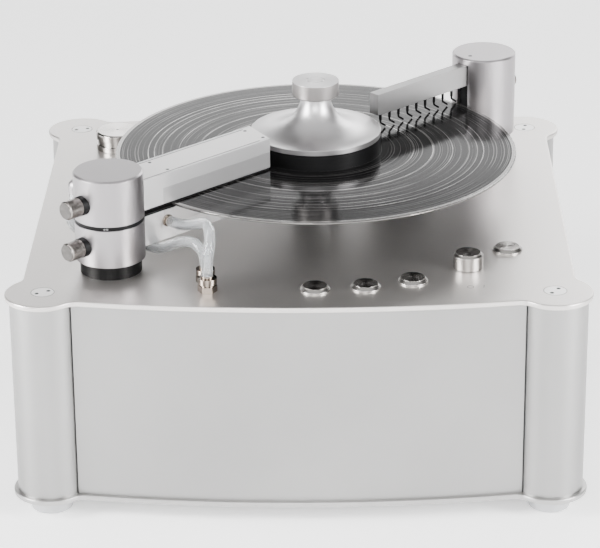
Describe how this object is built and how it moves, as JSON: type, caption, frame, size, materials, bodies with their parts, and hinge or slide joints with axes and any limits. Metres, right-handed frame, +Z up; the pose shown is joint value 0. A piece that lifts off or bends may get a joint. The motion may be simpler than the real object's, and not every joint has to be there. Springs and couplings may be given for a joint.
{
  "type": "record cleaning machine",
  "caption": "Table-top machine that washes a vinyl record between spray nozzles and dries both its sides with two swinging suction arms.",
  "frame": {"origin": "on the floor, under the middle of the case", "axes": "+Z up, front panel with the controls towards -Y, suction tower at -X -Y, brush tower at +X +Y"},
  "size_m": [0.414, 0.395, 0.2645],
  "materials": {
    "satin_aluminium": "bead-blasted, silver anodised",
    "deck_aluminium": "fine satin, silver anodised",
    "polished_steel": "turned and polished",
    "black_anodised": "satin black anodised",
    "record_vinyl": "grooved and glossy",
    "black_rubber": "matt black",
    "foot_plastic": "pale, slightly translucent",
    "hose_clear": "clear, slightly milky tube",
    "nickel_brass": "nickel-plated, bright",
    "black_plastic": "moulded black",
    "tank_plastic": "natural white moulded",
    "board_green": "green circuit board",
    "bare_steel": "machined"
  },
  "bodies": {
    "case": {"top_plate": "deck_aluminium", "bottom_plate": "deck_aluminium", "corner_columns": "satin_aluminium", "front_panel": "satin_aluminium", "rear_panel": "satin_aluminium", "side_panels": "satin_aluminium", "tie_rods": "polished_steel", "feet": "foot_plastic", "spindle_housing": "deck_aluminium", "drive_motor": "bare_steel", "drive_belt": "black_rubber", "tower_rings": "black_anodised", "tower_posts": "bare_steel", "hose_fittings": "nickel_brass", "lower_arm_hose": "hose_clear", "upper_arm_hose": "hose_clear", "fluid_tank": "tank_plastic", "fluid_pump": "black_plastic", "waste_tank": "tank_plastic", "turbine_housing": "black_plastic", "control_board": "board_green", "control_switches": "black_plastic", "power_supply": "bare_steel", "power_inlet": "black_plastic"},
    "turning_record": {"spindle": "bare_steel", "platter_pulley": "deck_aluminium", "label_hub": "deck_aluminium", "record": "record_vinyl"},
    "clamp": {"record_clamp": "satin_aluminium", "clamp_seal": "black_anodised"},
    "upper_arm_group": {"upper_tower_body": "satin_aluminium", "upper_arm": "satin_aluminium", "upper_arm_lid": "satin_aluminium", "upper_lip_holders": "satin_aluminium", "upper_lips": "black_rubber", "upper_knob_collar": "black_anodised"},
    "upper_thumb_knob": {"upper_knob": "polished_steel"},
    "lower_arm_group": {"lower_tower_body": "satin_aluminium", "lower_arm": "satin_aluminium", "lower_arm_lid": "satin_aluminium", "lower_lip_holders": "satin_aluminium", "lower_lips": "black_rubber", "lower_knob_collar": "black_anodised", "lower_hose_port": "polished_steel"},
    "lower_thumb_knob": {"lower_knob": "polished_steel"},
    "brush_tower": {"brush_tower_body": "satin_aluminium", "brush_carrier": "black_anodised", "upper_brush_bar": "satin_aluminium", "lower_brush_bar": "satin_aluminium", "spray_nozzles": "black_plastic", "brush_knob_collar": "black_anodised"},
    "brush_thumb_knob": {"brush_knob": "polished_steel"},
    "button_one": {"button_1": "polished_steel"},
    "button_two": {"button_2": "polished_steel"},
    "button_three": {"button_3": "polished_steel"},
    "button_four": {"button_4": "polished_steel"},
    "power_switch_knob": {"power_knob": "polished_steel"},
    "tank_cap": {"filler_cap": "polished_steel"},
    "motor_drive": {"motor_pulley": "bare_steel"},
    "vacuum_fan": {"turbine_fan": "black_plastic"}
  },
  "joints": [
    {"name": "record_spin", "type": "hinge", "parent": "case", "child": "turning_record", "pos_m": [0.0115, 0.0071, 0.2], "axis": [0, 0, 1], "continuous": true},
    {"name": "motor_pulley_spin", "type": "hinge", "parent": "case", "child": "motor_drive", "pos_m": [0.0996, -0.03103, 0.1], "axis": [0, 0, 1], "continuous": true},
    {"name": "clamp_lift", "type": "slide", "parent": "turning_record", "child": "clamp", "axis": [0, 0, 1], "range_m": [0, 0.06]},
    {"name": "upper_arm_swing", "type": "hinge", "parent": "case", "child": "upper_arm_group", "pos_m": [-0.1346, -0.1256, 0.22], "axis": [0, 0, 1], "range_deg": [0, 58]},
    {"name": "lower_arm_swing", "type": "hinge", "parent": "case", "child": "lower_arm_group", "pos_m": [-0.1346, -0.1256, 0.19], "axis": [0, 0, 1], "range_deg": [0, 15]},
    {"name": "brush_tower_swing", "type": "hinge", "parent": "case", "child": "brush_tower", "pos_m": [0.1442, 0.1364, 0.21], "axis": [0, 0, 1], "range_deg": [0, 65]},
    {"name": "upper_knob_turn", "type": "hinge", "parent": "upper_arm_group", "child": "upper_thumb_knob", "pos_m": [-0.1346, -0.1256, 0.2238], "axis": [-0.6947, -0.7193, 0], "range_deg": [0, 180]},
    {"name": "lower_knob_turn", "type": "hinge", "parent": "lower_arm_group", "child": "lower_thumb_knob", "pos_m": [-0.1346, -0.1256, 0.1923], "axis": [-0.6947, -0.7193, 0], "range_deg": [0, 180]},
    {"name": "brush_knob_turn", "type": "hinge", "parent": "brush_tower", "child": "brush_thumb_knob", "pos_m": [0.1442, 0.1364, 0.2095], "axis": [0.5736, 0.8192, 0], "range_deg": [0, 180]},
    {"name": "button_1_press", "type": "slide", "parent": "case", "child": "button_one", "axis": [0, 0, -1], "range_m": [0, 0.0015], "stiffness_N_per_m": 400, "springref_m": -0.002},
    {"name": "button_2_press", "type": "slide", "parent": "case", "child": "button_two", "axis": [0, 0, -1], "range_m": [0, 0.0015], "stiffness_N_per_m": 400, "springref_m": -0.002},
    {"name": "button_3_press", "type": "slide", "parent": "case", "child": "button_three", "axis": [0, 0, -1], "range_m": [0, 0.0015], "stiffness_N_per_m": 400, "springref_m": -0.002},
    {"name": "button_4_press", "type": "slide", "parent": "case", "child": "button_four", "axis": [0, 0, -1], "range_m": [0, 0.0015], "stiffness_N_per_m": 400, "springref_m": -0.002},
    {"name": "power_knob_turn", "type": "hinge", "parent": "case", "child": "power_switch_knob", "pos_m": [0.12082, -0.12504, 0.17], "axis": [0, 0, -1], "range_deg": [0, 60]},
    {"name": "filler_cap_lift", "type": "slide", "parent": "case", "child": "tank_cap", "axis": [0, 0, 1], "range_m": [0, 0.04]},
    {"name": "vacuum_fan_spin", "type": "hinge", "parent": "case", "child": "vacuum_fan", "pos_m": [-0.104, -0.034, 0.08], "axis": [0, 0, 1], "continuous": true}
  ],
  "couplings": [
    {"joint": "motor_pulley_spin", "follows": "record_spin", "ratio": 5.375}
  ]
}
